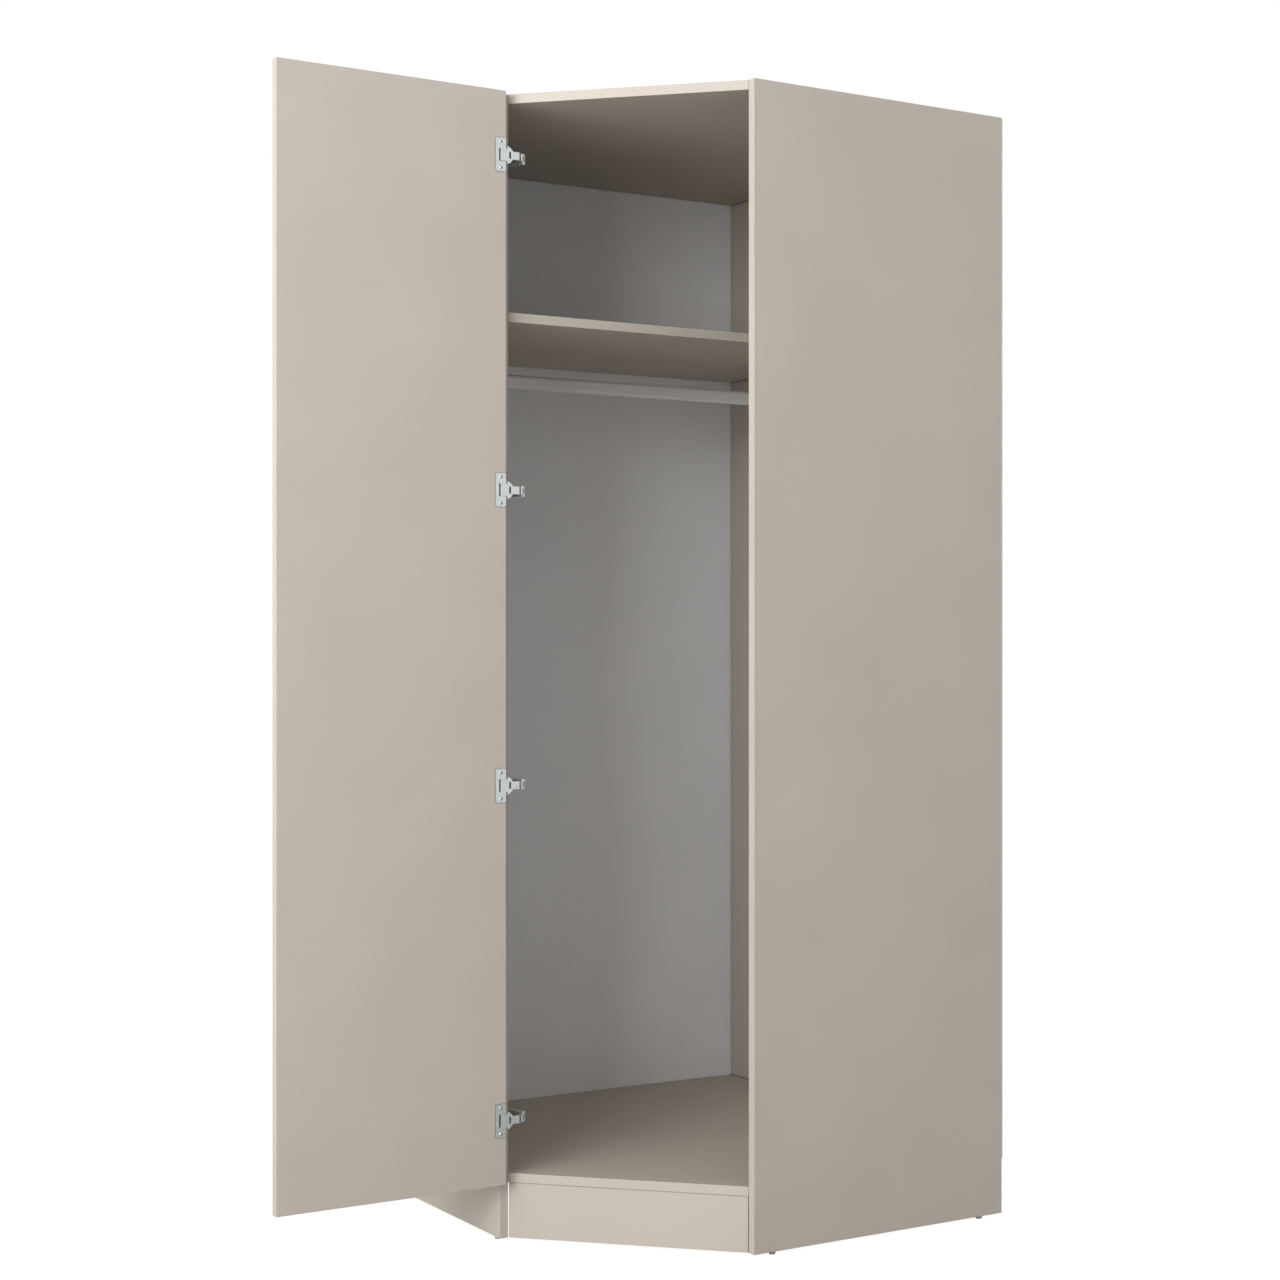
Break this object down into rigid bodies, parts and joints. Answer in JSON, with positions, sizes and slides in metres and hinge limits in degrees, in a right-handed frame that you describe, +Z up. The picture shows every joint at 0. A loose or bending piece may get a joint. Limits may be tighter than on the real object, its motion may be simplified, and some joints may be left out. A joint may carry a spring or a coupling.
{
  "type": "corner wardrobe",
  "caption": "Tall corner wardrobe with a diagonal hinged door, full-depth shelf and oval hanging rail, in beige board, door swung fully open.",
  "frame": {"origin": "the corner of the room on the floor, where the outer faces of the two back panels meet", "axes": "+X and +Y point into the two walls behind the wardrobe, +Z is up; the door is stored fully open"},
  "size_m": [1.4191, 0.953, 2.2],
  "materials": {
    "beige_board": "fine-textured matt beige melamine on chipboard, with edging of the same colour",
    "back_board": "smooth pale grey-white lacquered fibreboard",
    "rail_metal": "plated steel, bright satin",
    "hinge_nickel": "nickel-plated pressed steel",
    "hinge_pin_steel": "ground and plated steel",
    "screw_steel": "nickel-plated, satin",
    "fitting_zinc": "plain cast and plated metal, satin",
    "dowel_wood": "plain beech",
    "glide_plastic": "moulded plastic, matt"
  },
  "bodies": {
    "carcass": {"left_side_panel": "beige_board", "right_side_panel": "beige_board", "rear_upright": "beige_board", "top_panel": "beige_board", "bottom_panel": "beige_board", "shelf": "beige_board", "plinth_board": "beige_board", "plinth_brackets": "fitting_zinc", "left_back_panel": "back_board", "right_back_panel": "back_board", "clothes_rail": "rail_metal", "rail_socket_left": "rail_metal", "rail_socket_right": "rail_metal", "rail_screws": "screw_steel", "shelf_pins": "fitting_zinc", "cam_locks": "fitting_zinc", "cam_bolts": "fitting_zinc", "wood_dowels": "dowel_wood", "floor_glides": "glide_plastic", "arm_pins": "hinge_pin_steel", "arm_screws": "screw_steel", "base_screws": "screw_steel", "hinge_arm_1": "hinge_nickel", "hinge_arm_2": "hinge_nickel", "hinge_arm_3": "hinge_nickel", "hinge_arm_4": "hinge_nickel", "hinge_base_1": "hinge_nickel", "hinge_base_2": "hinge_nickel", "hinge_base_3": "hinge_nickel", "hinge_base_4": "hinge_nickel"},
    "door": {"door_panel": "beige_board", "cup_screws": "screw_steel", "cup_pins": "hinge_pin_steel", "hinge_cup_1": "hinge_nickel", "hinge_cup_2": "hinge_nickel", "hinge_cup_3": "hinge_nickel", "hinge_cup_4": "hinge_nickel"},
    "swing_links": {"swing_link_1": "hinge_nickel", "swing_link_2": "hinge_nickel", "swing_link_3": "hinge_nickel", "swing_link_4": "hinge_nickel"},
    "door_links": {"knee_pins": "hinge_pin_steel", "door_link_1": "hinge_nickel", "door_link_2": "hinge_nickel", "door_link_3": "hinge_nickel", "door_link_4": "hinge_nickel"}
  },
  "joints": [
    {"name": "door_swing", "type": "hinge", "parent": "carcass", "child": "door", "pos_m": [-0.9483, -0.6127, 1.157], "axis": [0, 0, 1], "range_deg": [0, 135]},
    {"name": "arm_pivot", "type": "hinge", "parent": "carcass", "child": "swing_links", "pos_m": [-0.9043, -0.6067, 1.157], "axis": [0, 0, 1], "range_deg": [0, 135]},
    {"name": "knee_pivot", "type": "hinge", "parent": "swing_links", "child": "door_links", "pos_m": [-0.9151, -0.62016, 1.157], "axis": [0, 0, 1], "range_deg": [-135, 0]}
  ],
  "couplings": [
    {"joint": "arm_pivot", "follows": "door_swing", "ratio": 1},
    {"joint": "knee_pivot", "follows": "door_swing", "ratio": -1}
  ]
}
